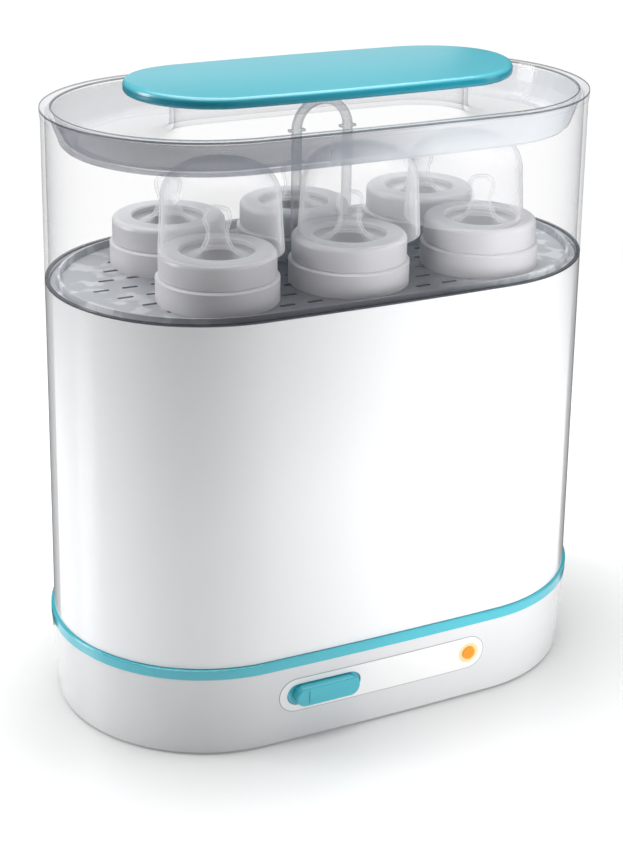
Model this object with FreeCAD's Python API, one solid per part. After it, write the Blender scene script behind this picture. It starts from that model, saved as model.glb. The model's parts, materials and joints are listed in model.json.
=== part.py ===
import FreeCAD, Part
import math
import os

# Electric steam steriliser for baby bottles, in millimetres.
# X is the long axis, the control panel faces -Y, +Z is up, and z = 0 is the table.
# The origin is the middle of the footprint.
# Every body outline is the same four-arc oval, grown or shrunk by an even offset,
# so each function below takes the growth of its outline over the seam outline.

Vector = FreeCAD.Vector
UP = Vector(0, 0, 1)
REAR = Vector(0, 1, 0)

# ---- driving dimensions -------------------------------------------------
seam_half_length = 145.0      # outline where the lid meets the white body
seam_half_width = 80.6
seam_end_radius = 79.8
draft = 0.012                 # growth of the wall per mm going down

base_bottom_z = 1.0           # lower edge of the base housing
band_bottom_z = 45.3
band_top_z = 50.6
seam_z = 230.8
rim_band_z = 314.5            # lower line of the lid's thick rim
lid_top_z = 318.0
grip_bottom_z = 324.0
grip_top_z = 330.6

base_step = 1.46              # the base stands out this much past the body
base_taper = 2.57             # and draws in this much to its lower edge

base_wall = 2.6
body_wall = 2.2
fit_gap = 0.3
running_gap = 0.05

# heating
basin_half_length = 110.0
basin_half_width = 52.0
basin_wall = 2.4
basin_floor_z = 22.0
basin_flange = 6.0               # rim that the basin is welded by
basin_flange_thickness = 1.6
deck_bottom_z = band_bottom_z - base_wall
plate_radius = 47.0
plate_thickness = 1.5
seal_thickness = 1.7
sump_radius = 43.0
clamp_circle = 54.0
clamp_boss_radius = 4.0
plate_top_z = basin_floor_z - seal_thickness
plate_bottom_z = plate_top_z - plate_thickness

# bottom cover and feet
cover_bottom_z = 1.2
cover_thickness = 3.0
cover_top_z = cover_bottom_z + cover_thickness
cover_screw_depth = 12.0
boss_places = [(118, 38), (118, -38), (-118, 38), (-118, -38), (0, 66), (0, -66)]
boss_radius = 4.5
foot_places = [(98, 42), (98, -42), (-98, 42), (-98, -42)]
foot_radius = 8.0

# control panel
panel_length = 120.2
panel_height = 19.7
panel_x = -0.3
panel_z = 28.3
panel_depth = 1.25
panel_proud = 0.2
slot_length = 41.7
slot_height = 12.4
slot_x = -35.1
slot_z = 28.5
key_front_y = -82.6           # face of the button's lower pad
key_block_y = -88.0           # face of the raised pad
key_travel = 2.0
key_flange_y = -77.6             # back of the key's flange
spring_reach = 16.5              # from the key's middle to each spring
spring_radius = 2.2
spring_wire = 0.3
spring_pitch = 2.9
front_inner_y = -80.6         # inside of the front wall at panel height
lamp_x = 50.5
lamp_radius = 3.55
switch_front_y = -72.0
switch_back_y = -60.0
bracket_y = switch_back_y
spring_length = bracket_y - key_flange_y - key_travel - 2 * spring_wire - 0.5
post_places = [(slot_x - 27, slot_z), (slot_x + 27, slot_z)]
board_post_places = [(lamp_x - 20, panel_z), (lamp_x + 12, panel_z)]
board_y = -66.0

# mains inlet
gland_x = 70.0
gland_z = 17.0
gland_bore = 3.3
gland_inner_y = 68.0
gland_outer_y = 88.0          # as far out as the key on the front

# baskets
tray_bottom_z = 226.6
tray_top_z = 229.0
tray_bead_top_z = 232.8
strainer_z = 52.0

# arch handle of the small basket
arch_outer = 16.6
arch_inner = 12.0
arch_half_thickness = 1.4
arch_shoulder_z = 300.6
arch_top_z = 316.5

# load
row_y = 32.4
ring_columns = [-71.5, 0.0, 76.0]
ring_radius = 30.5
ring_height = 25.3
ring_top_thickness = 2.5
dome_radius = 30.8
dome_taper = 1.6                 # the side leans in this much up to the shoulder
dome_side = 25.5                 # height of the side
dome_shoulder = 17.5             # radius of the shoulder
dome_height = 44.2
dome_wall = 1.2
dome_places = [(-70.0, -33.4), (5.0, -33.0), (67.5, -29.5)]

# lid
lid_wall = 2.1
lid_floor_z = 301.5
lid_floor_thickness = 2.2
rim_width = 5.0
neck_half_length = 81.0
neck_half_width = 24.5
neck_top_z = 325.0
flare_width = 15.0
flare_height = 7.0
grip_half_length = 103.7
grip_half_width = 44.7
grip_end_radius = 43.1
grip_sag = 1.3                   # the top is this much lower at its long edges
grip_top_round = 2.6
grip_low_round = 2.0
grip_screw_places = [(66, 12), (66, -12), (-66, 12), (-66, -12)]

os.makedirs("parts", exist_ok=True)


# ---- helpers ------------------------------------------------------------
def oval_wire(half_length, half_width, end_radius, z, x=0.0, y=0.0):
    """Four tangent arcs: two long side arcs and two end arcs."""
    rise = half_width - end_radius
    run = half_length - end_radius
    side_radius = (run * run / rise + end_radius + half_width) / 2
    slope = math.hypot(run, side_radius - half_width)
    touch_x = run + end_radius * run / slope
    touch_y = end_radius * (side_radius - half_width) / slope
    corners = [(touch_x, touch_y), (-touch_x, touch_y), (-touch_x, -touch_y), (touch_x, -touch_y)]
    middles = [(0, half_width), (-half_length, 0), (0, -half_width), (half_length, 0)]
    edges = []
    for step in range(4):
        start = corners[step]
        end = corners[(step + 1) % 4]
        through = middles[step]
        points = [Vector(px + x, py + y, z) for px, py in (start, through, end)]
        edges.append(Part.Arc(*points).toShape())
    return Part.Wire(edges)


def body_wire(grow, z):
    return oval_wire(seam_half_length + grow, seam_half_width + grow, seam_end_radius + grow, z)


def body_block(grow_low, z_low, grow_high, z_high):
    """Solid between two body outlines, with straight drafted sides."""
    return Part.makeLoft([body_wire(grow_low, z_low), body_wire(grow_high, z_high)], True, True)


def wall_growth(z):
    return draft * (seam_z - z)


def drafted_block(inset, z_low, z_high):
    """Solid that follows the drafted wall, set in from its outer face."""
    return body_block(wall_growth(z_low) - inset, z_low, wall_growth(z_high) - inset, z_high)


def base_growth(z):
    top = wall_growth(band_bottom_z) + base_step
    share = (band_bottom_z - z) / (band_bottom_z - base_bottom_z)
    return top - base_taper * share


def base_block(inset, z_low, z_high):
    return body_block(base_growth(z_low) - inset, z_low, base_growth(z_high) - inset, z_high)


def oval_block(half_length, half_width, end_radius, z_low, z_high, x=0.0, y=0.0):
    wire = oval_wire(half_length, half_width, end_radius, z_low, x, y)
    return Part.Face(wire).extrude(Vector(0, 0, z_high - z_low))


def pill_wire(length, height, x, z, y):
    """Stadium outline in a plane that faces the front."""
    end = height / 2
    half = length / 2 - end
    right = Part.Arc(Vector(x + half, y, z - end), Vector(x + half + end, y, z), Vector(x + half, y, z + end))
    left = Part.Arc(Vector(x - half, y, z + end), Vector(x - half - end, y, z), Vector(x - half, y, z - end))
    top = Part.makeLine(Vector(x + half, y, z + end), Vector(x - half, y, z + end))
    low = Part.makeLine(Vector(x - half, y, z - end), Vector(x + half, y, z - end))
    return Part.Wire([right.toShape(), top, left.toShape(), low])


def pill_block(length, height, x, z, y_low, y_high):
    face = Part.Face(pill_wire(length, height, x, z, y_low))
    return face.extrude(Vector(0, y_high - y_low, 0))


def post(x, y, z_low, z_high, radius):
    return Part.makeCylinder(radius, z_high - z_low, Vector(x, y, z_low), UP)


def rod(x, z, y_low, y_high, radius):
    """Round bar along Y."""
    return Part.makeCylinder(radius, y_high - y_low, Vector(x, y_low, z), REAR)


def block(x_low, x_high, y_low, y_high, z_low, z_high):
    return Part.makeBox(x_high - x_low, y_high - y_low, z_high - z_low, Vector(x_low, y_low, z_low))


def revolved(edges, x=0.0, y=0.0, z=0.0):
    """Solid of revolution about a vertical axis from edges in the XZ plane."""
    shape = Part.Face(Part.Wire(edges)).revolve(Vector(0, 0, 0), UP, 360)
    shape.translate(Vector(x, y, z))
    return shape


def polyline(points):
    vectors = [Vector(radius, 0, height) for radius, height in points]
    return [Part.makeLine(start, end) for start, end in zip(vectors, vectors[1:])]


def curve(points):
    """Smooth curve through points in the XZ plane."""
    spline = Part.BSplineCurve()
    spline.interpolate([Vector(radius, 0, height) for radius, height in points])
    return spline.toShape()


def fuse_all(shapes):
    return shapes[0].fuse(shapes[1:]).removeSplitter()


def soften(shape, edges, radius):
    return shape.makeFillet(radius, edges) if edges else shape


def edges_at(shape, z, reach=0.01):
    """Edges that lie wholly at one height."""
    return [edge for edge in shape.Edges
            if abs(edge.BoundBox.ZMin - z) < reach and abs(edge.BoundBox.ZMax - z) < reach]


def save(name, shapes):
    """Write one node: a solid, or a group of separate solids."""
    solids = shapes if isinstance(shapes, list) else [shapes]
    parts = [solid for shape in solids for solid in shape.Solids]
    for solid in parts:
        if not solid.isValid() or solid.Volume < 0.1:
            print("CHECK", name, solid.isValid(), solid.Volume)
    result = parts[0] if len(parts) == 1 else Part.makeCompound(parts)
    result.exportStep("parts/" + name + ".step")
    print(name, len(parts), round(result.Volume / 1000, 2))


# ---- base ---------------------------------------------------------------
def basin_block(grow, z_low, z_high):
    """The water basin's outline, grown outwards."""
    return oval_block(basin_half_length + grow, basin_half_width + grow, basin_half_width + grow - 1, z_low, z_high)


def clamp_places(radius):
    reach = radius / math.sqrt(2)
    return [(reach, reach), (-reach, reach), (-reach, -reach), (reach, -reach)]


def base_housing():
    """Outer wall, with the posts of the switch and the board, the panel recess and the key's slot."""
    shell = base_block(0, base_bottom_z, band_bottom_z)
    shell = soften(shell, edges_at(shell, base_bottom_z), 1.2)
    shell = shell.cut(base_block(base_wall, base_bottom_z - 1, band_bottom_z + 1))
    inside = base_block(base_wall / 2, base_bottom_z, band_bottom_z)
    posts = [rod(x, z, -84, bracket_y, 3.5) for x, z in post_places]
    posts += [rod(x, z, -84, board_y, 3.0) for x, z in board_post_places]
    shell = shell.fuse([bar.common(inside) for bar in posts])
    pilots = [rod(x, z, bracket_y - 8, bracket_y + 1, 1.1) for x, z in post_places]
    pilots += [rod(x, z, board_y - 6, board_y + 1, 1.0) for x, z in board_post_places]
    recess = pill_block(panel_length, panel_height, panel_x, panel_z, -95, -70)
    recess = recess.cut(base_block(panel_depth, base_bottom_z, band_bottom_z))
    slot = pill_block(slot_length, slot_height, slot_x, slot_z, -95, -78)
    lamp_hole = rod(lamp_x, panel_z, -95, -78, lamp_radius + 0.1)
    inlet = rod(gland_x, gland_z, 70, 95, 5.6)
    return shell.cut(pilots + [recess, slot, lamp_hole, inlet]).removeSplitter()


def base_deck():
    """Deck welded into the top of the outer wall, with the basin's mouth and the cover's screw bosses."""
    deck = base_block(base_wall, deck_bottom_z, band_bottom_z)
    deck = deck.cut(basin_block(0, deck_bottom_z - 1, band_bottom_z + 1))
    deck = deck.fuse([post(x, y, cover_top_z, deck_bottom_z + 1, boss_radius) for x, y in boss_places])
    pilots = [post(x, y, cover_top_z - 1, cover_top_z + cover_screw_depth, 1.3) for x, y in boss_places]
    return deck.cut(pilots).removeSplitter()


def water_basin():
    """Oval basin welded under the deck, open in the middle of its floor for the heating plate."""
    basin = basin_block(basin_wall, basin_floor_z, deck_bottom_z)
    flange = basin_block(basin_flange, deck_bottom_z - basin_flange_thickness, deck_bottom_z)
    bosses = [post(x, y, plate_bottom_z, basin_floor_z + 1, clamp_boss_radius)
              for x, y in clamp_places(clamp_circle)]
    basin = basin.fuse([flange] + bosses)
    basin = basin.cut(basin_block(0, basin_floor_z + basin_wall, deck_bottom_z + 1))
    basin = basin.cut(post(0, 0, basin_floor_z - 1, basin_floor_z + basin_wall + 1, sump_radius))
    pilots = [post(x, y, plate_bottom_z - 1, plate_bottom_z + 4.5, 1.1) for x, y in clamp_places(clamp_circle)]
    return basin.cut(pilots).removeSplitter()


def base_trim_ring():
    outer = base_growth(band_bottom_z) + 0.1
    ring = body_block(outer, band_bottom_z, outer - 0.1, band_top_z)
    ring = soften(ring, edges_at(ring, band_top_z), 0.6)
    return ring.cut(body_block(1.0, band_bottom_z - 1, 1.0, band_top_z + 1))


def heating_plate():
    disc = post(0, 0, plate_bottom_z, plate_top_z, plate_radius)
    dish = post(0, 0, plate_top_z - 0.5, plate_top_z + 1, sump_radius - 4)
    return disc.cut(dish)


def plate_seal():
    ring = post(0, 0, plate_top_z, basin_floor_z, plate_radius)
    return ring.cut(post(0, 0, plate_top_z - 1, basin_floor_z + 1, sump_radius + 1))


def heating_element():
    """A tube bent to a broken ring under the plate, with two cold ends pointing down."""
    bend_radius = 30.0
    tube_radius = 3.4
    centre_z = plate_bottom_z - tube_radius + 0.6
    tube = Part.makeTorus(bend_radius, tube_radius, Vector(0, 0, centre_z), UP, 0, 360, 300)
    tube.rotate(Vector(0, 0, 0), UP, 120)
    ends = []
    for angle in (120, 60):
        turn = math.radians(angle)
        place = (bend_radius * math.cos(turn), bend_radius * math.sin(turn))
        ends.append(post(place[0], place[1], centre_z - 8, centre_z, 2.0))
        ends.append(Part.makeSphere(tube_radius, Vector(place[0], place[1], centre_z)))
    whole = tube.fuse(ends)
    return whole.cut(post(0, 0, plate_bottom_z, plate_bottom_z + 10, plate_radius))


def plate_clamp():
    """Spring-steel ring with four ears that press the plate up on its seal."""
    low = plate_bottom_z - 1.5
    ring = post(0, 0, low, plate_bottom_z, plate_radius)
    shapes = []
    for x, y in clamp_places(clamp_circle):
        ear = post(x, y, low, plate_bottom_z, 6.0)
        arm = block(plate_radius - 6, clamp_circle, -6, 6, low, plate_bottom_z)
        arm.rotate(Vector(0, 0, 0), UP, math.degrees(math.atan2(y, x)))
        shapes += [ear, arm]
    ring = ring.fuse(shapes)
    holes = [post(x, y, low - 1, plate_bottom_z + 1, 1.6) for x, y in clamp_places(clamp_circle)]
    return ring.cut(holes + [post(0, 0, low - 1, plate_bottom_z + 1, 38.5)])


def pan_screw(x, y, head_z, length, radius, head_radius, head_height):
    """Vertical screw with its head underneath and a cross recess."""
    head = post(x, y, head_z - head_height, head_z, head_radius)
    shank = post(x, y, head_z, head_z + length, radius)
    cross = [block(x - head_radius * 0.6, x + head_radius * 0.6, y - 0.35, y + 0.35,
                   head_z - head_height - 1, head_z - head_height * 0.5),
             block(x - 0.35, x + 0.35, y - head_radius * 0.6, y + head_radius * 0.6,
                   head_z - head_height - 1, head_z - head_height * 0.5)]
    return head.fuse(shank).cut(cross)


def rear_screw(x, z, head_y, length, radius, head_radius, head_height):
    """Horizontal screw with its head to the rear."""
    head = rod(x, z, head_y, head_y + head_height, head_radius)
    shank = rod(x, z, head_y - length, head_y, radius)
    cross = block(x - head_radius * 0.6, x + head_radius * 0.6, head_y + head_height * 0.5,
                  head_y + head_height + 1, z - 0.35, z + 0.35)
    return head.fuse(shank).cut(cross)


def plate_screws():
    return [pan_screw(x, y, plate_bottom_z - 1.5, 5.5, 1.1, 3.0, 1.8) for x, y in clamp_places(clamp_circle)]


def thermostat():
    body = post(0, 0, plate_bottom_z - 7, plate_bottom_z, 8.0)
    tabs = [block(side * 5 - 0.4, side * 5 + 0.4, -3, 3, plate_bottom_z - 13, plate_bottom_z - 7)
            for side in (-1, 1)]
    return body.fuse(tabs)


def thermal_fuse():
    axis_z = plate_bottom_z - 2.2
    return Part.makeCylinder(2.0, 11.0, Vector(-5.5, -18, axis_z), Vector(1, 0, 0))


def bottom_cover():
    cover = base_block(base_wall + 0.2, cover_bottom_z, cover_top_z)
    sinks = [post(x, y, cover_bottom_z - 1, cover_bottom_z + 2.0, 3.6) for x, y in boss_places]
    sinks += [post(x, y, cover_bottom_z - 1, cover_top_z + 1, 1.7) for x, y in boss_places]
    sinks += [post(x, y, cover_bottom_z - 1, cover_bottom_z + 1.0, foot_radius + 0.2) for x, y in foot_places]
    sinks += [post(x, y, cover_bottom_z - 1, cover_top_z + 1, 2.5) for x, y in foot_places]
    vents = [block(x - 1.5, x + 1.5, y - 12, y + 12, cover_bottom_z - 1, cover_top_z + 1)
             for x in (-60, -52, -44, 44, 52, 60) for y in (0,)]
    return cover.cut(sinks + vents)


def cover_screws():
    head_z = cover_bottom_z + 2.0
    return [pan_screw(x, y, head_z, 11, 1.3, 3.2, 1.8) for x, y in boss_places]


def rubber_feet():
    feet = []
    for x, y in foot_places:
        pad = post(x, y, 0, cover_bottom_z + 1.0, foot_radius)
        pad = soften(pad, edges_at(pad, 0), 0.6)
        stem = post(x, y, cover_bottom_z + 1.0, cover_top_z, 2.5)
        barb = post(x, y, cover_top_z, cover_top_z + 1.5, 3.3)
        feet.append(pad.fuse([stem, barb]))
    return feet


def control_panel():
    pill = pill_block(panel_length, panel_height, panel_x, panel_z, -95, -70)
    skin = base_block(-panel_proud, base_bottom_z, band_bottom_z)
    skin = skin.cut(base_block(panel_depth, base_bottom_z - 1, band_bottom_z + 1))
    skin = skin.cut(block(-160, 160, -90, 90, -10, base_bottom_z))
    panel = skin.common(pill)
    slot = pill_block(slot_length, slot_height, slot_x, slot_z, -95, -70)
    return panel.cut([slot, rod(lamp_x, panel_z, -95, -70, lamp_radius + 0.1)])


def switch_button():
    """Sprung key: a pad that fills the slot, a raised pad on it and a flange behind the wall."""
    pad = pill_block(slot_length - 0.7, slot_height - 0.7, slot_x, slot_z, key_front_y, -77.6)
    raised = pill_block(35.8, 10.7, slot_x + 0.5, slot_z, key_block_y, key_front_y)
    face_edges = [edge for edge in raised.Edges if edge.BoundBox.YMax < key_block_y + 0.01]
    raised = raised.makeFillet(1.0, face_edges)
    groove = block(slot_x - 10.9, slot_x - 10.3, key_block_y - 1, key_block_y + 0.5, slot_z - 3.2, slot_z + 3.2)
    flange = pill_block(slot_length + 4, slot_height + 3.4, slot_x, slot_z, -79.2, -77.6)
    stem = rod(slot_x, slot_z, -77.6, switch_front_y - key_travel - 0.4, 3.0)
    plunger = rod(slot_x, slot_z, -77.6, switch_front_y + 1, 1.9)
    return pad.fuse([raised, flange, stem, plunger]).cut(groove)


def button_springs():
    """Two return coils between the key's flange and the bracket behind it."""
    springs = []
    for side in (-1, 1):
        helix = Part.makeHelix(spring_pitch, spring_length, spring_radius)
        start = Part.Wire([Part.Circle(Vector(spring_radius, 0, 0), Vector(0, 1, 0), spring_wire).toShape()])
        coil = Part.Wire(helix.Edges).makePipeShell([start], True, True)
        coil.rotate(Vector(0, 0, 0), Vector(1, 0, 0), -90)
        coil.translate(Vector(slot_x + side * spring_reach, key_flange_y + spring_wire + running_gap, slot_z))
        springs.append(coil)
    return springs


def switch_body():
    case = block(slot_x - 12, slot_x + 12, switch_front_y, switch_back_y, slot_z - 7, slot_z + 7)
    bore = rod(slot_x, slot_z, switch_front_y - 1, switch_front_y + 5, 1.9 + running_gap)
    case = case.cut(bore)
    tabs = [block(slot_x + side * 6 - 0.4, slot_x + side * 6 + 0.4, switch_back_y - 8, switch_back_y - 2,
                  slot_z - 13, slot_z - 7) for side in (-1, 1)]
    return case.fuse(tabs)


def switch_bracket():
    bar = pill_block(62, 10, slot_x, slot_z, bracket_y, bracket_y + 1.6)
    holes = [rod(x, z, bracket_y - 1, bracket_y + 3, 1.4) for x, z in post_places]
    return bar.cut(holes)


def bracket_screws():
    return [rear_screw(x, z, bracket_y + 1.6, 8, 1.1, 2.6, 1.6) for x, z in post_places]


def indicator_lens():
    face_y = -83.9
    body = rod(lamp_x, panel_z, face_y, front_inner_y + 1.5, lamp_radius)
    crown_radius = 14.0
    crown = Part.makeSphere(crown_radius, Vector(lamp_x, face_y - 0.3 + crown_radius, panel_z))
    body = body.common(crown)
    flange = rod(lamp_x, panel_z, front_inner_y + 0.9, front_inner_y + 2.1, 4.8)
    return body.fuse(flange)


def indicator_lamp():
    """Round-nosed lamp on two leads that reach the circuit board."""
    nose_y = front_inner_y + 4.2
    nose = Part.makeSphere(1.8, Vector(lamp_x, nose_y, panel_z))
    barrel = rod(lamp_x, panel_z, nose_y, nose_y + 4, 1.8)
    leads = [rod(lamp_x + side, panel_z, nose_y + 4, board_y, 0.3) for side in (-1, 1)]
    return barrel.fuse([nose] + leads)


def circuit_board():
    board = block(lamp_x - 25, lamp_x + 17, board_y, board_y + 1.6, panel_z - 11, panel_z + 10)
    holes = [rod(x, z, board_y - 1, board_y + 3, 1.2) for x, z in board_post_places]
    return board.cut(holes)


def board_screws():
    return [rear_screw(x, z, board_y + 1.6, 6, 1.0, 2.2, 1.3) for x, z in board_post_places]


def board_components():
    """Relay, capacitor and two resistors on the back of the board."""
    back = board_y + 1.6
    relay = block(lamp_x - 14, lamp_x - 2, back, back + 7, panel_z - 8, panel_z + 4)
    can = rod(lamp_x + 4, panel_z + 4, back, back + 6, 2.5)
    resistors = [Part.makeCylinder(0.9, 6, Vector(lamp_x + 1, back + 0.9, panel_z - z), Vector(1, 0, 0))
                 for z in (4, 8)]
    return [relay, can] + resistors


def cord_inlet():
    """Rear bushing that the mains lead passes through, with a flange outside the wall."""
    flange = rod(gland_x, gland_z, 78, 84.5, 7.5).cut(base_block(0, base_bottom_z, band_bottom_z))
    barrel = rod(gland_x, gland_z, gland_inner_y, gland_outer_y, 5.5)
    return flange.fuse(barrel).cut(rod(gland_x, gland_z, 60, 95, gland_bore))


def inlet_nut():
    sides = 6
    corner = 8.6
    angles = [2 * math.pi * step / sides for step in range(sides + 1)]
    ring = [Vector(gland_x + corner * math.cos(turn), 74.0, gland_z + corner * math.sin(turn)) for turn in angles]
    nut = Part.Face(Part.makePolygon(ring)).extrude(Vector(0, 8, 0))
    nut = nut.common(base_block(base_wall, base_bottom_z, band_bottom_z))
    return nut.cut(rod(gland_x, gland_z, 60, 95, 5.5))


def terminal_block():
    low = cover_top_z
    case = block(12, 44, 58, 70, low, low + 10)
    wells = [post(x, 64, low + 5, low + 11, 1.8) for x in (17, 24, 32, 39)]
    return case.cut(wells)


def wire(points, radius=1.0):
    """Insulated wire along straight runs with round corners."""
    vectors = [Vector(*point) for point in points]
    runs = [Part.makeCylinder(radius, (end - start).Length, start, end - start)
            for start, end in zip(vectors, vectors[1:])]
    knees = [Part.makeSphere(radius, corner) for corner in vectors[1:-1]]
    return runs[0].fuse(runs[1:] + knees)


def mains_wires():
    """Live and neutral from the inlet to the terminal block."""
    wires = []
    for side in (-1, 1):
        x = gland_x + 1.3 * side
        z = cover_top_z + 4 + 1.5 * side
        wires.append(wire([(x, 67, gland_z), (x - 8, 63, z + 4), (x - 16, 62.5 + side, z), (44.2, 64 + 2 * side, z)]))
    return wires


def heater_wires():
    """Terminal block to the two cold ends of the heating element."""
    low = plate_bottom_z - 10.9
    return [wire([(18, 56.8, 8), (15, 40, 6.5), (15, 26.1, 5.6), (15, 26, low - 0.1)]),
            wire([(24, 56.8, 10), (2, 44, 8), (-15, 34, 6.5), (-15, 26, 5.6), (-15, 26, low - 0.1)])]


def switch_wires():
    """Terminal block to the switch, passing under the heating plate's rim."""
    wires = []
    for side in (-1, 1):
        x = slot_x + 6 * side
        y = switch_back_y - 5
        wires.append(wire([(30 + 4 * side, 56.6, 7.4), (70 + 3 * side, 40, 6.4), (70 + 3 * side, -30, 6.4),
                           (x + 12, -50 + 3 * side, 6.4), (x, y, 8), (x, y, slot_z - 13.2)]))
    return wires


# ---- large basket -------------------------------------------------------
def large_basket_shell():
    low = band_top_z + fit_gap
    shell = drafted_block(0, low, seam_z)
    shell = shell.cut(drafted_block(body_wall, low - 1, seam_z + 1))
    spigot = body_block(0.6, band_bottom_z, 0.6, 55)
    spigot = spigot.cut(body_block(-1.4, band_bottom_z - 1, -1.4, 56))
    low_ledge = body_block(-1.0, strainer_z - 2, -1.0, strainer_z)
    low_ledge = low_ledge.cut(body_block(-6.0, strainer_z - 3, -6.0, strainer_z + 1))
    top_ledge = body_block(-1.5, tray_bottom_z - 2.4, -1.5, tray_bottom_z)
    top_ledge = top_ledge.cut(body_block(-6.5, tray_bottom_z - 3, -6.5, tray_bottom_z + 1))
    return fuse_all([shell, spigot, low_ledge, top_ledge])


def strainer_plate():
    """Perforated plate that the bottles stand on, with a finger hole in the middle."""
    plate = body_block(-1.9, strainer_z, -1.9, strainer_z + 2.4)
    pitch = 13.0
    holes = []
    for row in range(-5, 6):
        shift = pitch / 2 if row % 2 else 0
        for column in range(-10, 11):
            x = column * pitch + shift
            y = row * pitch * 0.88
            inside = max(abs(x) - 65, 0) ** 2 + y * y < 70 ** 2
            if inside and x * x + y * y > 22 ** 2:
                holes.append(post(x, y, strainer_z - 1, strainer_z + 4, 3.6))
    holes.append(post(0, 0, strainer_z - 1, strainer_z + 4, 12.0))
    return plate.cut(holes)


# ---- small basket -------------------------------------------------------
def slot_hole(x, y, length, width):
    cutter = oval_block(length / 2, width / 2 + 0.01, width / 2, tray_bottom_z - 1, tray_top_z + 1, x, y)
    return cutter


def small_basket_tray():
    tray = body_block(-2.6, tray_bottom_z, -2.6, tray_top_z)
    bead = body_block(-6.0, tray_bottom_z, -6.2, tray_bead_top_z)
    bead = bead.cut(body_block(-7.8, tray_bottom_z - 1, -7.6, tray_bead_top_z + 1))
    tray = tray.fuse(bead)
    slots = []
    for row in range(-4, 5):
        shift = 7.5 if row % 2 else 0
        for column in range(-8, 9):
            x = column * 15.0 + shift
            y = row * 14.0
            inside = max(abs(x) - 62, 0) ** 2 + y * y < 62 ** 2
            if inside and not (abs(y) < 8 and abs(x) < 24):
                slots.append(slot_hole(x, y, 8.5, 2.4))
    return tray.cut(slots)


def basket_handle():
    """Arch between the two rows, standing on two foot pads."""
    y = -arch_half_thickness
    centre_z = arch_top_z - arch_outer
    inner_z = centre_z + 0.6
    outer = [Vector(-arch_outer, y, tray_top_z), Vector(-arch_outer, y, centre_z)]
    outer_arc = Part.Arc(outer[1], Vector(0, y, arch_top_z), Vector(arch_outer, y, centre_z))
    inner_arc = Part.Arc(Vector(arch_inner, y, inner_z), Vector(0, y, inner_z + arch_inner),
                         Vector(-arch_inner, y, inner_z))
    edges = [Part.makeLine(outer[0], outer[1]), outer_arc.toShape(),
             Part.makeLine(Vector(arch_outer, y, centre_z), Vector(arch_outer, y, tray_top_z)),
             Part.makeLine(Vector(arch_outer, y, tray_top_z), Vector(arch_inner, y, tray_top_z)),
             Part.makeLine(Vector(arch_inner, y, tray_top_z), Vector(arch_inner, y, inner_z)),
             inner_arc.toShape(),
             Part.makeLine(Vector(-arch_inner, y, inner_z), Vector(-arch_inner, y, tray_top_z)),
             Part.makeLine(Vector(-arch_inner, y, tray_top_z), outer[0])]
    arch = Part.Face(Part.Wire(edges)).extrude(Vector(0, 2 * arch_half_thickness, 0))
    shapes = []
    for side in (-1, 1):
        middle = side * (arch_outer + arch_inner) / 2
        shapes.append(block(middle - 4.2, middle + 4.2, -2.4, 2.4, tray_top_z, tray_top_z + 3))
        shapes.append(block(middle - 4.4, middle + 4.4, y, -y, arch_shoulder_z - 1.2, arch_shoulder_z))
    return arch.fuse(shapes).removeSplitter()


# ---- load ---------------------------------------------------------------
def screw_ring(x, y):
    """Bottle neck ring: knurl-free skirt, thin groove, rounded shoulder and round opening."""
    shoulder = ring_radius - 1.5
    under_top = ring_height - ring_top_thickness
    edge_round = 3.0
    bend = Part.Arc(Vector(shoulder, 0, ring_height - edge_round),
                    Vector(shoulder - edge_round * (1 - math.sqrt(0.5)), 0,
                           ring_height - edge_round * (1 - math.sqrt(0.5))),
                    Vector(shoulder - edge_round, 0, ring_height))
    low = [(27, 0), (ring_radius, 0), (ring_radius, 11.4), (ring_radius - 0.9, 12.0), (shoulder - 0.5, 12.4),
           (shoulder, 13.0), (shoulder, ring_height - edge_round)]
    top = [(shoulder - edge_round, ring_height), (19.3, ring_height), (18.5, ring_height - 0.8),
           (18.5, under_top), (27, under_top), (27, 0)]
    return revolved(polyline(low) + [bend.toShape()] + polyline(top), x, y, tray_top_z)


def teat(x, y):
    """Silicone teat: thin shell with a seating flange under the ring's top."""
    seat = ring_height - ring_top_thickness
    flange = polyline([(16.6, seat - 2.6), (26.2, seat - 2.6), (26.2, seat), (18.2, seat)])
    outside = curve([(18.2, seat), (15.0, seat - 0.8), (11.6, seat - 0.2), (8.9, seat + 1.9), (7.0, seat + 5.0),
                     (5.7, seat + 8.8), (5.7, seat + 12.5), (6.9, seat + 16.2), (7.0, seat + 19.2),
                     (5.9, seat + 22.0), (3.4, seat + 23.4), (0, seat + 23.7)])
    drop = polyline([(0, seat + 23.7), (0, seat + 22.5)])
    inside = curve([(0, seat + 22.5), (3.0, seat + 22.2), (5.0, seat + 20.8), (5.8, seat + 18.8), (5.6, seat + 16.4),
                    (4.5, seat + 12.6), (4.5, seat + 8.6), (5.8, seat + 4.4), (7.9, seat + 0.9),
                    (11.0, seat - 1.4), (14.4, seat - 2.2), (16.6, seat - 2.6)])
    return revolved(flange + [outside] + drop + [inside], x, y, tray_top_z)


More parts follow.
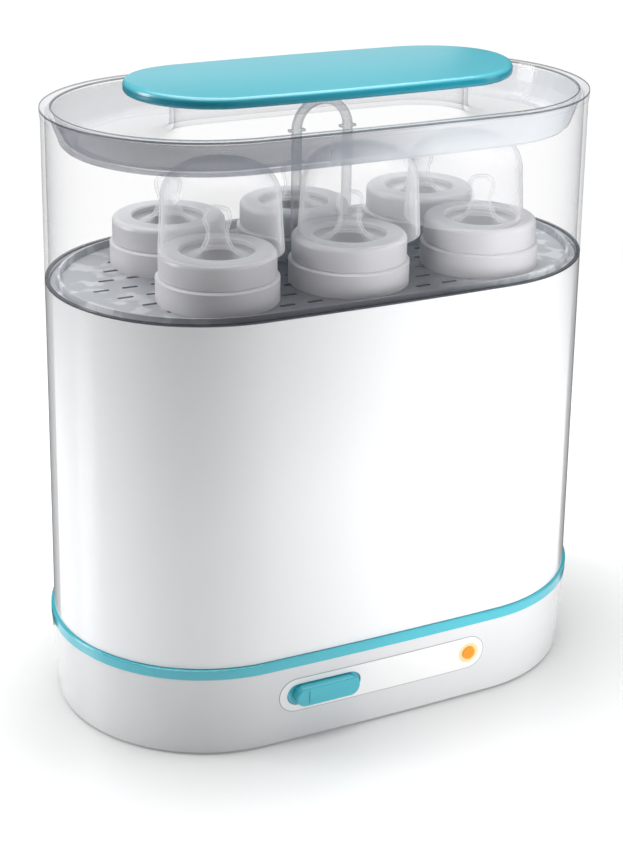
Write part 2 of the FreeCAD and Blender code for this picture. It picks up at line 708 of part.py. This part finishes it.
def dome_edges(inset):
    """Outline of the dome from its lower edge to the axis: leaning side, round shoulder, ball-shaped crown."""
    centre = Vector(dome_radius - dome_taper - dome_shoulder, 0, dome_side)
    drop = dome_height - centre.z
    crown = (centre.x ** 2 + drop ** 2 - dome_shoulder ** 2) / (2 * (drop - dome_shoulder))
    ball = Vector(0, 0, dome_height - crown)
    lean = math.atan2(centre.z - ball.z, centre.x)

    def on_circle(middle, radius, angle):
        return middle + Vector(radius * math.cos(angle), 0, radius * math.sin(angle))

    shoulder = dome_shoulder - inset
    start = on_circle(centre, shoulder, 0)
    corner = on_circle(centre, shoulder, lean)
    side = Part.makeLine(Vector(dome_radius - inset, 0, 0), start)
    bend = Part.Arc(start, on_circle(centre, shoulder, lean / 2), corner).toShape()
    half = (lean + math.pi / 2) / 2
    top = Part.Arc(corner, on_circle(ball, crown - inset, half), Vector(0, 0, dome_height - inset)).toShape()
    return [side, bend, top]


def dome_cap(x, y):
    """Clear cap that covers a teat, standing on its screw ring."""
    foot = Part.makeLine(Vector(dome_radius, 0, 0), Vector(dome_radius - dome_wall, 0, 0))
    axis = Part.makeLine(Vector(0, 0, dome_height), Vector(0, 0, dome_height - dome_wall))
    return revolved(dome_edges(0) + [axis] + dome_edges(dome_wall)[::-1] + [foot], x, y, tray_top_z + ring_height)


# ---- lid ----------------------------------------------------------------
def recess_block(extra):
    """Sunken top of the lid, as a solid: wide at the rim, narrow at the floor."""
    floor = lid_floor_z - extra
    wires = [body_wire(wall_growth(lid_floor_z) - 12.5 + extra, floor),
             body_wire(wall_growth(lid_floor_z) - 11.0 + extra, floor + 1.5),
             body_wire(wall_growth(309) - 8.0 + extra, 309),
             body_wire(wall_growth(lid_top_z) - rim_width + extra, lid_top_z + 0.5)]
    return Part.makeLoft(wires, True, True)


def neck_block(extra, drop, top):
    """Hollow boss under the grip: straight sides on a foot that flares out in a quarter ellipse."""
    steps = 5
    sizes = [(flare_width + 1, lid_floor_z - 0.4)]
    for step in range(1, steps + 1):
        turn = math.pi / 2 * step / steps
        sizes.append((flare_width * (1 - math.sin(turn)), lid_floor_z + flare_height * (1 - math.cos(turn))))
    wires = []
    for spread, z in sizes + [(0, top + drop)]:
        grow = spread + extra
        wires.append(oval_wire(neck_half_length + grow, neck_half_width + grow, neck_half_width - 1 + grow, z - drop))
    return Part.makeLoft(wires, True, True)


def lid_shell():
    low = seam_z + 0.2
    outer = drafted_block(0, low, lid_top_z)
    rim = drafted_block(-0.5, rim_band_z, lid_top_z)
    outer = outer.fuse(rim)
    cavity = drafted_block(lid_wall, low - 1, lid_top_z - 2.4)
    wall = outer.cut(cavity)
    cup = recess_block(lid_floor_thickness).common(drafted_block(0.5, 290, lid_top_z))
    neck = neck_block(0, 0, neck_top_z)
    lid = wall.fuse([cup, neck])
    above = neck_block(0, 0, neck_top_z + 5)
    hollow_top = recess_block(0).cut(above)
    lid = lid.cut(hollow_top)
    lid = lid.cut(neck_block(-lid_wall, lid_floor_thickness, neck_top_z - 2.0))
    holes = [post(x, y, neck_top_z - 4, neck_top_z + 1, 1.6) for x, y in grip_screw_places]
    return lid.cut(holes)


def lid_grip():
    """Crowned oval plate with rounded edges, hollow underneath, with ribs and four screw posts."""
    grip = oval_block(grip_half_length, grip_half_width, grip_end_radius, grip_bottom_z, grip_top_z + 1)
    crown_radius = grip_half_width ** 2 / (2 * grip_sag)
    crown_axis = Vector(-1.5 * grip_half_length, 0, grip_top_z - crown_radius)
    barrel = Part.makeCylinder(crown_radius, 3 * grip_half_length, crown_axis, Vector(1, 0, 0))
    barrel.rotate(crown_axis, Vector(1, 0, 0), 180)    # turns the cylinder's seam away from the plate
    grip = grip.common(barrel)
    top_edges = [edge for edge in grip.Edges if edge.BoundBox.ZMin > grip_top_z - 2 * grip_sag]
    grip = soften(grip, top_edges, grip_top_round)
    grip = soften(grip, edges_at(grip, grip_bottom_z), grip_low_round)
    roof = grip_top_z - 2.6
    pocket = oval_block(grip_half_length - 2.6, grip_half_width - 2.6, grip_end_radius - 2.6, grip_bottom_z - 1, roof)
    grip = grip.cut(pocket)
    posts = [post(x, y, neck_top_z, roof + 0.6, 3.6) for x, y in grip_screw_places]
    ribs = [block(x - 0.8, x + 0.8, -grip_half_width, grip_half_width, neck_top_z + 0.4, roof)
            for x in (-92, -40, 0, 40, 92)]
    ribs = [rib.common(pocket) for rib in ribs]
    grip = grip.fuse(posts + ribs)
    pilots = [post(x, y, neck_top_z - 1, neck_top_z + 3.2, 1.1) for x, y in grip_screw_places]
    return grip.cut(pilots).removeSplitter()


def grip_screws():
    return [pan_screw(x, y, neck_top_z - 2.0, 5.0, 1.1, 2.8, 1.6) for x, y in grip_screw_places]


# ---- write every node ---------------------------------------------------
save("base_housing", base_housing())
save("base_deck", base_deck())
save("water_basin", water_basin())
save("base_trim_ring", base_trim_ring())
save("heating_plate", heating_plate())
save("plate_seal", plate_seal())
save("heating_element", heating_element())
save("plate_clamp", plate_clamp())
save("plate_screws", plate_screws())
save("thermostat", thermostat())
save("thermal_fuse", thermal_fuse())
save("bottom_cover", bottom_cover())
save("cover_screws", cover_screws())
save("rubber_feet", rubber_feet())
save("control_panel", control_panel())
save("switch_button", switch_button())
save("button_springs", button_springs())
save("switch_body", switch_body())
save("switch_bracket", switch_bracket())
save("bracket_screws", bracket_screws())
save("indicator_lens", indicator_lens())
save("indicator_lamp", indicator_lamp())
save("circuit_board", circuit_board())
save("board_screws", board_screws())
save("board_components", board_components())
save("cord_inlet", cord_inlet())
save("inlet_nut", inlet_nut())
save("terminal_block", terminal_block())
save("mains_wires", mains_wires())
save("heater_wires", heater_wires())
save("switch_wires", switch_wires())
save("large_basket_shell", large_basket_shell())
save("strainer_plate", strainer_plate())
save("small_basket_tray", small_basket_tray())
save("basket_handle", basket_handle())
places = [(x, side * row_y) for side in (-1, 1) for x in ring_columns]
for number, (x, y) in enumerate(places, 1):
    save("screw_ring_" + str(number), screw_ring(x, y))
    save("teat_" + str(number), teat(x, y))
for number, (x, y) in enumerate(dome_places, 1):
    save("dome_cap_" + str(number), dome_cap(x, y))
save("lid_shell", lid_shell())
save("lid_grip", lid_grip())
save("grip_screws", grip_screws())
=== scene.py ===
import json
import math

import bpy
from mathutils import Matrix, Vector


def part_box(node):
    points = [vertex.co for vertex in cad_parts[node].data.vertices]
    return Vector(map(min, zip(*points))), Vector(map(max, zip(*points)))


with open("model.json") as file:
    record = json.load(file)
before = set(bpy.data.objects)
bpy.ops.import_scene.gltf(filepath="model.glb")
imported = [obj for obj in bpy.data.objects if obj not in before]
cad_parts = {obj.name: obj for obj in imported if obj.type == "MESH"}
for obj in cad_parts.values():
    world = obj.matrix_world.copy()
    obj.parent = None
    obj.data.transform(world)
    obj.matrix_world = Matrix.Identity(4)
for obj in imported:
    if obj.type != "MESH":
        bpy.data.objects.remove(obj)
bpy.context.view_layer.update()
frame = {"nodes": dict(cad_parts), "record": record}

# Looks for the electric steam steriliser, in metres.
# X is the long axis, the panel faces -Y, and z = 0 is the table.
nodes = frame["nodes"]
scene = bpy.context.scene

# The plan is an oval: all points within some reach of a straight line from -end_x to end_x.
end_x = 0.0652

# Heights above the table.
seam_z = 0.2308                   # lower edge of the lid
recess_floor = 0.2993             # floor of the lid's sunken top
lid_top = 0.318                   # top of the lid's rim
grip_side_top = 0.3288            # the grip's side ends and its top face begins

# Reaches of the features of the lid's rim.
outer_corner = 0.0786
inner_corner = (0.0729, 0.0745)
rim_face = (0.0742, 0.0790)
recess_wall = (0.0605, 0.0765)
painted_line_height = 0.0010              # how tall the painted dark corner lines are
painted_line_soft = 0.0003
recess_soft = (0.0004, 0.0008)    # upwards and outwards

# Scales of the noise in the materials, in cycles per metre.
drift_scale = 14.0
gloss_scale = 60.0
skin_scale = 900.0
clear_drift_scale = 18.0
clear_gloss_scale = 40.0
blotch_scale = 95.0
copper_scale = 320.0

# Skin texture of moulded pieces.
skin_strength = 0.3
skin_depth = 0.00002


# ---- camera -------------------------------------------------------------
def add_camera():
    """Camera a little left of the front and above the lid."""
    azimuth = math.radians(-26.08)
    elevation = math.radians(20.56)
    roll = math.radians(0.79)
    distance = 0.9248
    slide_x = -0.00394
    target_z = 0.18234
    back = Vector((math.sin(azimuth) * math.cos(elevation),
                   -math.cos(azimuth) * math.cos(elevation),
                   math.sin(elevation)))
    right = (-back).cross(Vector((0, 0, 1))).normalized()
    up = right.cross(-back)
    turned_right = math.cos(roll) * right + math.sin(roll) * up
    turned_up = -math.sin(roll) * right + math.cos(roll) * up
    place = back * distance + right * slide_x + Vector((0, 0, target_z))
    data = bpy.data.cameras.new("camera")
    camera = bpy.data.objects.new("camera", data)
    scene.collection.objects.link(camera)
    turn = Matrix((turned_right, turned_up, back)).transposed()
    camera.matrix_world = Matrix.Translation(place) @ turn.to_4x4()
    data.sensor_width = 36.0
    data.lens = 74.5
    data.shift_y = -0.0907
    data.clip_start = 0.02
    data.clip_end = 30
    data.dof.use_dof = False
    scene.camera = camera


# ---- light and floor ----------------------------------------------------
def area_light(name, place, target, width, height, power, spread=180, only=None):
    """Softbox aimed at a target. The camera can't see it; only is "diffuse" or "glossy"."""
    data = bpy.data.lights.new(name, "AREA")
    data.shape = "RECTANGLE"
    data.size = width
    data.size_y = height
    data.energy = power
    data.spread = math.radians(spread)
    lamp = bpy.data.objects.new(name, data)
    scene.collection.objects.link(lamp)
    lamp.location = Vector(place)
    lamp.rotation_euler = (Vector(target) - Vector(place)).to_track_quat("-Z", "Y").to_euler()
    lamp.visible_camera = False
    lamp.visible_diffuse = only != "glossy"
    lamp.visible_glossy = only != "diffuse"


def dark_card(name, first, second, height):
    """Black upright card that only reflections see; it darkens the edges of glossy white walls."""
    mesh = bpy.data.meshes.new(name)
    corners = [(*first, 0), (*second, 0), (*second, height), (*first, height)]
    mesh.from_pydata(corners, [], [(0, 1, 2, 3)])
    card = bpy.data.objects.new(name, mesh)
    scene.collection.objects.link(card)
    paint = material(name + "_black")
    shader = paint.node_tree.nodes["Principled BSDF"]
    shader.inputs["Base Color"].default_value = (0.01, 0.01, 0.01, 1)
    mesh.materials.append(paint)
    card.visible_camera = False
    card.visible_diffuse = False
    card.visible_transmission = False
    card.visible_shadow = False


def add_world():
    """White to the camera, dim for everything else, like a white backdrop in a dark studio."""
    world = bpy.data.worlds.new("studio")
    scene.world = world
    world.use_nodes = True
    tree = world.node_tree
    backdrop = tree.nodes["Background"]
    backdrop.inputs["Color"].default_value = (1, 1, 1, 1)
    backdrop.inputs["Strength"].default_value = 1.02
    dim = tree.nodes.new("ShaderNodeBackground")
    dim.inputs["Color"].default_value = (0.93, 0.96, 1.0, 1)
    dim.inputs["Strength"].default_value = 0.04
    rays = tree.nodes.new("ShaderNodeLightPath")
    mix = tree.nodes.new("ShaderNodeMixShader")
    link(tree, rays.outputs["Is Camera Ray"], mix.inputs["Fac"])
    link(tree, dim.outputs["Background"], mix.inputs[1])
    link(tree, backdrop.outputs["Background"], mix.inputs[2])
    link(tree, mix.outputs["Shader"], tree.nodes["World Output"].inputs["Surface"])


def add_studio():
    add_world()
    area_light("softbox_left_rear", place=(-1.45, 0.68, 0.55), target=(0, 0, 0.16),
               width=0.5, height=1.0, power=14.6)
    area_light("softbox_right", place=(1.35, -0.63, 0.5), target=(0, 0, 0.16),
               width=0.5, height=1.0, power=2.8)
    area_light("softbox_front", place=(0.075, -0.42, 0.22), target=(0.075, 0, 0.2),
               width=0.12, height=0.5, power=0.32, spread=64, only="diffuse")
    area_light("softbox_behind", place=(0.30, 0.90, 0.42), target=(0, 0, 0.33),
               width=0.55, height=0.34, power=0.30, only="glossy")
    area_light("softbox_top", place=(0.0, 0.2, 1.9), target=(0, 0, 0),
               width=2.2, height=2.0, power=55)
    dark_card("card_right", first=(0.195, -0.025), second=(0.195, 0.13), height=0.36)
    dark_card("card_left", first=(-0.125, 0.085), second=(-0.172, 0.085), height=0.36)
    scene.view_settings.view_transform = "Standard"
    scene.cycles.transparent_max_bounces = 32    # a line of sight crosses many clear walls


def floor_material():
    """White with a painted shadow that greys it close to the object, and fades out further away."""
    painted_shadow_from = 0.078
    painted_shadow_width = 0.10
    painted_shadow_grey = (0.68, 0.68, 0.68)
    far_white = (0.93, 0.93, 0.93)
    fade_end = 0.9
    fade_width = 0.5
    paint = material("floor_white")
    tree = paint.node_tree
    shader = tree.nodes["Principled BSDF"]
    x, y, _ = position(tree)
    away = rise(tree, pill_reach(tree, x, y, end_x), painted_shadow_from, painted_shadow_width)
    # painted shadow: base colour and emission go grey near the object's footprint
    shade = blend(tree, away, painted_shadow_grey, far_white)
    link(tree, shade, shader.inputs["Base Color"])
    link(tree, shade, shader.inputs["Emission Color"])
    shader.inputs["Roughness"].default_value = 0.3
    shader.inputs["Emission Strength"].default_value = 0.17
    from_middle = pill_reach(tree, x, y, 0.0)
    link(tree, fall(tree, from_middle, fade_end, fade_width), shader.inputs["Alpha"])
    return paint


def add_floor():
    """Round floor under the object."""
    radius = 1.3
    sides = 96
    turns = [math.tau * n / sides for n in range(sides)]
    rim = [(radius * math.cos(turn), radius * math.sin(turn), 0) for turn in turns]
    mesh = bpy.data.meshes.new("floor")
    mesh.from_pydata(rim, [], [tuple(range(sides))])
    mesh.materials.append(floor_material())
    floor = bpy.data.objects.new("floor", mesh)
    scene.collection.objects.link(floor)


# ---- nodes that materials are made of -----------------------------------
def material(name):
    paint = bpy.data.materials.new(name)
    paint.use_nodes = True
    return paint


def link(tree, source, target):
    tree.links.new(source, target)


def noise(tree, scale, detail=4.0, stretch=(1, 1, 1)):
    """Noise in the object's own coordinates, in cycles per metre."""
    place = tree.nodes.new("ShaderNodeTexCoord")
    mapping = tree.nodes.new("ShaderNodeMapping")
    mapping.inputs["Scale"].default_value = stretch
    texture = tree.nodes.new("ShaderNodeTexNoise")
    texture.inputs["Scale"].default_value = scale
    texture.inputs["Detail"].default_value = detail
    link(tree, place.outputs["Object"], mapping.inputs["Vector"])
    link(tree, mapping.outputs["Vector"], texture.inputs["Vector"])
    return texture.outputs["Fac"]


def between(tree, factor, low, high):
    """Maps a 0 to 1 value to a range."""
    ramp = tree.nodes.new("ShaderNodeMapRange")
    ramp.inputs["To Min"].default_value = low
    ramp.inputs["To Max"].default_value = high
    link(tree, factor, ramp.inputs["Value"])
    return ramp.outputs["Result"]


def colours(tree, factor, first, second):
    """Goes from the first colour to the second as a noise value grows."""
    ramp = tree.nodes.new("ShaderNodeValToRGB")
    for stop, place, colour in zip(ramp.color_ramp.elements, (0.3, 0.7), (first, second)):
        stop.position = place
        stop.color = (*colour, 1)
    link(tree, factor, ramp.inputs["Fac"])
    return ramp.outputs["Color"]


def bump(tree, shader, height, strength, depth):
    node = tree.nodes.new("ShaderNodeBump")
    node.inputs["Strength"].default_value = strength
    node.inputs["Distance"].default_value = depth
    link(tree, height, node.inputs["Height"])
    link(tree, node.outputs["Normal"], shader.inputs["Normal"])


def maths(tree, operation, first, second=None, clamp=False):
    """One Math node; each input is a number or another node's output."""
    node = tree.nodes.new("ShaderNodeMath")
    node.operation = operation
    node.use_clamp = clamp
    for socket, value in zip(node.inputs, (first, second)):
        if value is None:
            continue
        if isinstance(value, (int, float)):
            socket.default_value = value
        else:
            link(tree, value, socket)
    return node.outputs["Value"]


def rise(tree, value, start, width):
    """Nought up to start, then up to one over the width."""
    return maths(tree, "DIVIDE", maths(tree, "SUBTRACT", value, start), width, clamp=True)


def fall(tree, value, end, width):
    """One at first, then down to nought at end, over the width before it."""
    return maths(tree, "DIVIDE", maths(tree, "SUBTRACT", end, value), width, clamp=True)


def step_between(tree, value, low, high, soft):
    """One between low and high, nought outside, with soft edges."""
    return maths(tree, "MULTIPLY", rise(tree, value, low, soft), fall(tree, value, high, soft))


def largest(tree, first, second):
    return maths(tree, "MAXIMUM", first, second)


def grazing(tree, power, low, high):
    """Goes from low, seen square on, to high, seen edge-on."""
    facing = tree.nodes.new("ShaderNodeLayerWeight")
    facing.inputs["Blend"].default_value = 0.5
    return between(tree, maths(tree, "POWER", facing.outputs["Facing"], power), low, high)


def blend(tree, factor, first, second):
    """Mixes two colours; each is three numbers or another node's output."""
    node = tree.nodes.new("ShaderNodeMix")
    node.data_type = "RGBA"
    link(tree, factor, node.inputs["Factor"])
    for socket, value in ((node.inputs[6], first), (node.inputs[7], second)):
        if isinstance(value, tuple):
            socket.default_value = (*value, 1)
        else:
            link(tree, value, socket)
    return node.outputs[2]


def position(tree):
    """The point's x, y and z in the object's frame."""
    place = tree.nodes.new("ShaderNodeTexCoord")
    split = tree.nodes.new("ShaderNodeSeparateXYZ")
    link(tree, place.outputs["Object"], split.inputs["Vector"])
    return split.outputs["X"], split.outputs["Y"], split.outputs["Z"]


def pill_reach(tree, along, across, end):
    """Distance from a straight line that runs from minus end to end, as in a stadium."""
    past_end = largest(tree, maths(tree, "SUBTRACT", maths(tree, "ABSOLUTE", along), end), 0.0)
    squares = maths(tree, "ADD", maths(tree, "POWER", past_end, 2.0), maths(tree, "POWER", across, 2.0))
    return maths(tree, "SQRT", squares)


def colour_input(paint):
    """The tree, the shader and what feeds its base colour now."""
    tree = paint.node_tree
    shader = tree.nodes["Principled BSDF"]
    return tree, shader, shader.inputs["Base Color"].links[0].from_socket


# ---- materials ----------------------------------------------------------
def moulded(name, colour, shade, rough, spread, coat=0.0, grain=skin_scale, depth=skin_depth,
            coat_rough=0.04):
    """Moulded plastic: faint colour drift, uneven gloss and a fine skin texture."""
    paint = material(name)
    tree = paint.node_tree
    shader = tree.nodes["Principled BSDF"]
    gloss = between(tree, noise(tree, gloss_scale), rough - spread, rough + spread)
    link(tree, colours(tree, noise(tree, drift_scale), colour, shade), shader.inputs["Base Color"])
    link(tree, gloss, shader.inputs["Roughness"])
    shader.inputs["Coat Weight"].default_value = coat
    shader.inputs["Coat Roughness"].default_value = coat_rough
    bump(tree, shader, noise(tree, grain), skin_strength, depth)
    return paint


def see_through(name, tint, share, edge_share, power, rough, painted_glow=0.0):
    """Thin clear plastic: light goes straight through, and the tint shows where it is seen edge-on. Its
    faint white emission is painted light.
    """
    drift = tuple(channel * 0.94 for channel in tint)
    paint = material(name)
    tree = paint.node_tree
    shader = tree.nodes["Principled BSDF"]
    gloss = between(tree, noise(tree, clear_gloss_scale), rough * 0.6, rough * 1.4)
    link(tree, colours(tree, noise(tree, clear_drift_scale), tint, drift), shader.inputs["Base Color"])
    link(tree, grazing(tree, power, share, edge_share), shader.inputs["Alpha"])
    link(tree, gloss, shader.inputs["Roughness"])
    # painted light: a white emission makes the plastic paler without any lamp
    shader.inputs["Emission Color"].default_value = (1, 1, 1, 1)
    shader.inputs["Emission Strength"].default_value = painted_glow
    return paint


def lid_masks(tree, reach, z):
    """Where the lid's painted dark corner lines, its recess wall with painted grey shade and the face
    of its rim with a painted sheen are.
    """
    top = step_between(tree, z, lid_top - painted_line_height, lid_top + 2 * painted_line_height, painted_line_soft)
    outer = rise(tree, reach, outer_corner, painted_line_soft)
    inner = step_between(tree, reach, *inner_corner, painted_line_soft)
    # painted dark line along the lid's lower edge, where it meets the base
    foot = step_between(tree, z, seam_z - painted_line_height, seam_z + painted_line_height, painted_line_soft)
    lines = largest(tree, maths(tree, "MULTIPLY", top, largest(tree, outer, inner)), foot)
    upwards, outwards = recess_soft
    height = step_between(tree, z, recess_floor - painted_line_height, lid_top - painted_line_height, upwards)
    recess = maths(tree, "MULTIPLY", height, step_between(tree, reach, *recess_wall, outwards))
    rim = maths(tree, "MULTIPLY", top, step_between(tree, reach, *rim_face, painted_line_soft))
    return lines, recess, rim


def lid_material():
    """Clear lid with painted shade: its recess wall is painted grey for the light it bends, darker at
    the front left with a painted reflection at the front right, its rim face has a painted sheen, and
    its corners are painted as thin dark lines.
    """
    painted_line_shade = (0.06, 0.065, 0.08)
    rim_painted_sheen = (0.60, 0.62, 0.66)
    rear_painted_shade = (0.42, 0.44, 0.49)
    front_left_painted_shade = (0.22, 0.235, 0.285)
    front_right_painted_reflection = (0.80, 0.83, 0.87)
    painted_line_share = 0.72
    rim_painted_sheen_share = 0.36
    rear_painted_shade_share = 0.24
    front_painted_shade_share = 0.50
    paint = see_through("lid_clear", (0.30, 0.32, 0.37), share=0.012, edge_share=0.40, power=4.0,
                        rough=0.03)
    tree, shader, tint = colour_input(paint)
    walls = shader.inputs["Alpha"].links[0].from_socket
    x, y, z = position(tree)
    lines, recess, rim = lid_masks(tree, pill_reach(tree, x, y, end_x), z)
    # painted shade on the recess wall: greyer at the rear, darkest at the front left, and a pale
    # painted reflection at the front right
    front = fall(tree, y, 0.030, 0.030)
    right = rise(tree, x, -0.045, 0.070)
    front_painted_shade_and_reflection = blend(tree, right, front_left_painted_shade, front_right_painted_reflection)
    tint = blend(tree, recess, tint, blend(tree, front, rear_painted_shade, front_painted_shade_and_reflection))
    tint = blend(tree, rim, tint, rim_painted_sheen)
    # painted dark lines at the rim corners and the lower edge
    link(tree, blend(tree, lines, tint, painted_line_shade), shader.inputs["Base Color"])
    painted_band_share = maths(tree, "MULTIPLY", recess, between(tree, front, rear_painted_shade_share, front_painted_shade_share))
    shares = largest(tree, largest(tree, walls, painted_band_share), maths(tree, "MULTIPLY", rim, rim_painted_sheen_share))
    shares = largest(tree, shares, maths(tree, "MULTIPLY", lines, painted_line_share))
    link(tree, shares, shader.inputs["Alpha"])
    return paint


def tray_material():
    """Smoky see-through tray with painted light: paler towards its ends where light comes through it,
    with blotches of painted highlight there.
    """
    darkest_x = -0.020
    painted_light_from = 0.055
    painted_light_width = 0.060
    painted_light_grey = (0.66, 0.68, 0.71)
    painted_highlight_white = (0.93, 0.95, 0.97)
    paint = see_through("tray_smoky", (0.22, 0.225, 0.25), share=0.86, edge_share=0.96, power=2.0,
                        rough=0.22)
    tree, shader, tint = colour_input(paint)
    x = position(tree)[0]
    # painted light grows away from the darkest point, with painted highlight blotches
    aside = maths(tree, "ABSOLUTE", maths(tree, "SUBTRACT", x, darkest_x))
    ends = rise(tree, aside, painted_light_from, painted_light_width)
    painted_highlight_blotches = rise(tree, noise(tree, blotch_scale, detail=1.5), 0.50, 0.10)
    painted_light = blend(tree, painted_highlight_blotches, painted_light_grey, painted_highlight_white)
    link(tree, blend(tree, ends, tint, painted_light), shader.inputs["Base Color"])
    return paint


def panel_material():
    """White panel with a fine grey line round its edge and painted warm lamp light round the lamp."""
    line_grey = (0.42, 0.42, 0.43)
    line_width = 0.0005
    line_blur = 0.0002
    painted_glow_warm = (0.90, 0.70, 0.32)
    painted_glow_reach = 0.0019
    painted_glow_blur = 0.0017
    paint = moulded("panel_white", (0.90, 0.90, 0.90), (0.92, 0.92, 0.92), 0.22, 0.04, coat=0.3)
    tree, shader, tint = colour_input(paint)
    low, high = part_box("control_panel")
    half_height = (high[2] - low[2]) / 2
    x, _, z = position(tree)
    along = maths(tree, "SUBTRACT", x, (low[0] + high[0]) / 2)
    up = maths(tree, "SUBTRACT", z, (low[2] + high[2]) / 2)
    reach = pill_reach(tree, along, up, (high[0] - low[0]) / 2 - half_height)
    edge = rise(tree, reach, half_height - line_width, line_blur)
    lamp_low, lamp_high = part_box("indicator_lens")
    lamp_x = (lamp_low[0] + lamp_high[0]) / 2
    lamp_radius = (lamp_high[0] - lamp_low[0]) / 2
    from_lamp = pill_reach(tree, maths(tree, "SUBTRACT", x, lamp_x), up, 0.0)
    # painted light: a warm pool on the panel round the lamp
    painted_glow = fall(tree, from_lamp, lamp_radius + painted_glow_reach, painted_glow_blur)
    warm = blend(tree, painted_glow, tint, painted_glow_warm)
    link(tree, blend(tree, edge, warm, line_grey), shader.inputs["Base Color"])
    return paint


def grip_material():
    """Teal grip with painted shade: darker on its sides."""
    side_painted_shade_teal = (0.012, 0.27, 0.36)
    edge_blur = 0.0012
    paint = moulded("grip_teal", (0.095, 0.46, 0.55), (0.105, 0.49, 0.58), 0.30, 0.04, coat=0.5,
                    coat_rough=0.22)
    tree, shader, tint = colour_input(paint)
    z = position(tree)[2]
    # painted shade: the grip's sides below its top face go deeper teal
    painted_shade_side = fall(tree, z, grip_side_top, edge_blur)
    link(tree, blend(tree, painted_shade_side, tint, side_painted_shade_teal), shader.inputs["Base Color"])
    return paint


def board_material():
    """Green board with paler copper runs under the lacquer."""
    run_green = (0.09, 0.36, 0.16)
    paint = moulded("board_green", (0.02, 0.16, 0.07), (0.03, 0.20, 0.09), 0.35, 0.08, coat=0.4)
    tree, shader, tint = colour_input(paint)
    pattern = noise(tree, copper_scale, detail=0.0, stretch=(1, 1, 3))
    runs = step_between(tree, pattern, 0.48, 0.56, 0.02)
    link(tree, blend(tree, runs, tint, run_green), shader.inputs["Base Color"])
    return paint


def metal_material(name, colour, shade, rough):
    paint = moulded(name, colour, shade, rough, 0.08, grain=1500.0)
    paint.node_tree.nodes["Principled BSDF"].inputs["Metallic"].default_value = 1.0
    return paint


def lamp_material():
    """Orange lamp that is lit faintly from inside."""
    paint = moulded("lamp_orange", (0.80, 0.27, 0.006), (0.84, 0.30, 0.010), 0.2, 0.03)
    shader = paint.node_tree.nodes["Principled BSDF"]
    shader.inputs["Emission Color"].default_value = (1.0, 0.42, 0.02, 1)
    shader.inputs["Emission Strength"].default_value = 0.06
    return paint


# ---- one material for each slot of the record ---------------------------
def clear_paints():
    return {
        "clear_plastic": lid_material(),
        "grey_clear_plastic": tray_material(),
        # the teats and domes carry painted light as a faint white emission
        "teat_silicone": see_through("teat_silicone", (0.92, 0.91, 0.94), share=0.055,
                                     edge_share=0.88, power=3.0, rough=0.10, painted_glow=0.16),
        "dome_clear": see_through("dome_clear", (0.86, 0.85, 0.88), share=0.09, edge_share=0.92,
                                  power=3.4, rough=0.03, painted_glow=0.14),
        "lamp_clear": see_through("lamp_clear", (0.90, 0.92, 0.94), share=0.30, edge_share=0.90,
                                  power=2.0, rough=0.08),
    }


def outer_paints():
    """Each moulded row gives the colour, the colour it drifts to, the roughness and its spread."""
    teal = moulded("teal_gloss", (0.045, 0.46, 0.56), (0.055, 0.50, 0.60), 0.20, 0.04, coat=0.7)
    return {
        "white_housing": moulded("white_gloss", (0.86, 0.87, 0.885), (0.88, 0.89, 0.90), 0.16, 0.03,
                                 coat=0.6),
        "panel_white": panel_material(),
        "teal_plastic": grip_material(),
        "teal_trim": teal,
        "teal_key": teal,
        # the rings are painted greyer than white, as painted shade for lying inside the lid
        "ring_white": moulded("ring_white", (0.71, 0.70, 0.725), (0.74, 0.73, 0.755), 0.35, 0.05),
        "lamp_orange": lamp_material(),
        "inlet_white": moulded("inlet_white", (0.84, 0.84, 0.84), (0.88, 0.88, 0.88), 0.34, 0.05),
        "foot_rubber": moulded("foot_rubber", (0.035, 0.035, 0.038), (0.055, 0.055, 0.06), 0.72, 0.10,
                               grain=1400.0, depth=0.00006),
    }


def inner_paints():
    """Rows as in outer_paints."""
    return {
        "inner_white": moulded("basin_white", (0.78, 0.79, 0.80), (0.82, 0.83, 0.84), 0.38, 0.06),
        "strainer_plastic": moulded("strainer_white", (0.76, 0.77, 0.78), (0.80, 0.81, 0.82), 0.36,
                                    0.06),
        "inner_plastic": moulded("nylon_cream", (0.74, 0.72, 0.66), (0.79, 0.77, 0.71), 0.45, 0.08),
        "seal_silicone": moulded("seal_grey", (0.42, 0.43, 0.44), (0.48, 0.49, 0.50), 0.52, 0.08),
        "component_black": moulded("bakelite_black", (0.022, 0.022, 0.025), (0.040, 0.038, 0.038),
                                   0.30, 0.10),
        "board_green": board_material(),
        "wire_insulation": moulded("wire_sleeve", (0.70, 0.67, 0.60), (0.76, 0.73, 0.66), 0.50, 0.08),
        "steel_plate": metal_material("plate_steel", (0.60, 0.60, 0.61), (0.66, 0.66, 0.67), 0.30),
        "heater_metal": metal_material("heater_metal", (0.42, 0.41, 0.40), (0.50, 0.48, 0.46), 0.45),
        "spring_steel": metal_material("spring_steel", (0.52, 0.52, 0.54), (0.60, 0.60, 0.62), 0.24),
        "screw_steel": metal_material("screw_zinc", (0.62, 0.62, 0.60), (0.70, 0.70, 0.68), 0.32),
    }


def own_paints():
    """Pieces that look different from the rest of their slot."""
    return {
        "basket_handle": see_through("handle_smoky", (0.50, 0.51, 0.54), share=0.30, edge_share=0.85,
                                     power=2.0, rough=0.12),
        "base_housing": moulded("base_white", (0.72, 0.73, 0.745), (0.75, 0.76, 0.77), 0.18, 0.03,
                                coat=0.5),
    }


def paint_all():
    paints = {**clear_paints(), **outer_paints(), **inner_paints()}
    for row in frame["record"]["subparts"]:
        for slot in nodes[row["node"]].material_slots:
            slot.material = paints[row["material_slot"]]
    for name, paint in own_paints().items():
        nodes[name].material_slots[0].material = paint


add_camera()
add_studio()
add_floor()
paint_all()
